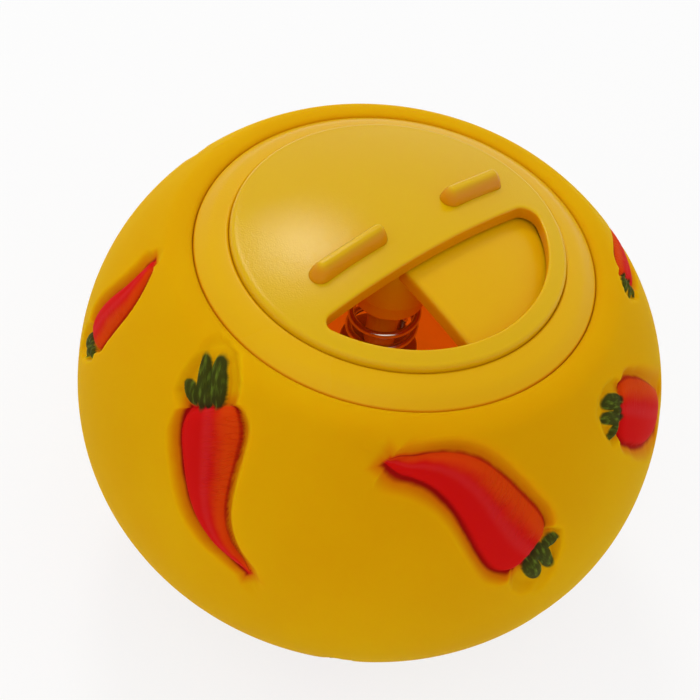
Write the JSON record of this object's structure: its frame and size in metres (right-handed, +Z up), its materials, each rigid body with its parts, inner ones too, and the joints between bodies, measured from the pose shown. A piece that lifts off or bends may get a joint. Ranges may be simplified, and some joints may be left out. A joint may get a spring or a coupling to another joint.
{
  "type": "treat dispensing ball",
  "caption": "Hollow squat ball with sunken moulded carrots and a snap-in lid; a turning dial with a half-moon window sets how wide its treat opening stands.",
  "frame": {"origin": "middle of the small flat foot that the ball stands on", "axes": "+Z up through the lid's axis, +Y along the straight edge of the lid's shutter, which covers the +X side"},
  "size_m": [0.075, 0.0749, 0.0602],
  "materials": {
    "ball_vinyl": "soft vinyl, satin, with red and green paint on the sunken carrots",
    "lid_plastic": "satin moulded",
    "spring_steel": "bright drawn wire",
    "screw_steel": "plain zinc"
  },
  "bodies": {
    "ball": {"ball_body": "ball_vinyl"},
    "lid": {"lid_frame": "lid_plastic"},
    "dial": {"dial": "lid_plastic", "dial_spring": "spring_steel", "spring_washer": "screw_steel", "centre_screw": "screw_steel"}
  },
  "joints": [
    {"name": "lid_lift", "type": "slide", "parent": "ball", "child": "lid", "axis": [0, 0, 1], "range_m": [0, 0.03]},
    {"name": "dial_turn", "type": "hinge", "parent": "lid", "child": "dial", "pos_m": [0, 0, 0.057], "axis": [0, 0, 1], "continuous": true}
  ]
}
